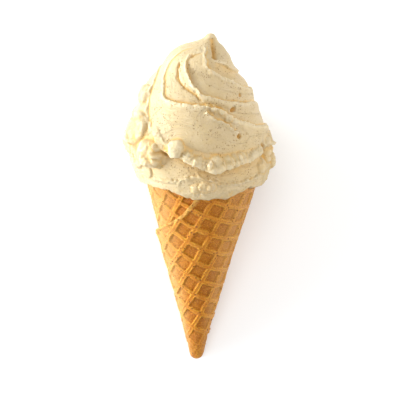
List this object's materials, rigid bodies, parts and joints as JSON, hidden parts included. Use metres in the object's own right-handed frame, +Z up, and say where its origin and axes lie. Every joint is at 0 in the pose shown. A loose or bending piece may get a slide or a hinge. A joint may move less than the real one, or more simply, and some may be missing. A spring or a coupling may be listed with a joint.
{
  "type": "soft serve ice cream cone",
  "caption": "Vanilla soft serve swirl on a rolled waffle cone, lying on its back, solid all through.",
  "frame": {"origin": "centre of the bounding box's base, on the surface that the cone lies on", "axes": "+Y along the length from the wafer's tip towards the swirl's peak, +Z up towards the shown front, +X to the front's right"},
  "size_m": [0.0839, 0.1829, 0.0811],
  "materials": {
    "wafer": "golden baked wafer, dry and slightly rough, browner in the pockets",
    "cream": "soft vanilla ice cream, smooth on the folds and ragged at their edges"
  },
  "bodies": {
    "root": {"waffle_cone": "wafer", "soft_serve": "cream"}
  },
  "joints": []
}
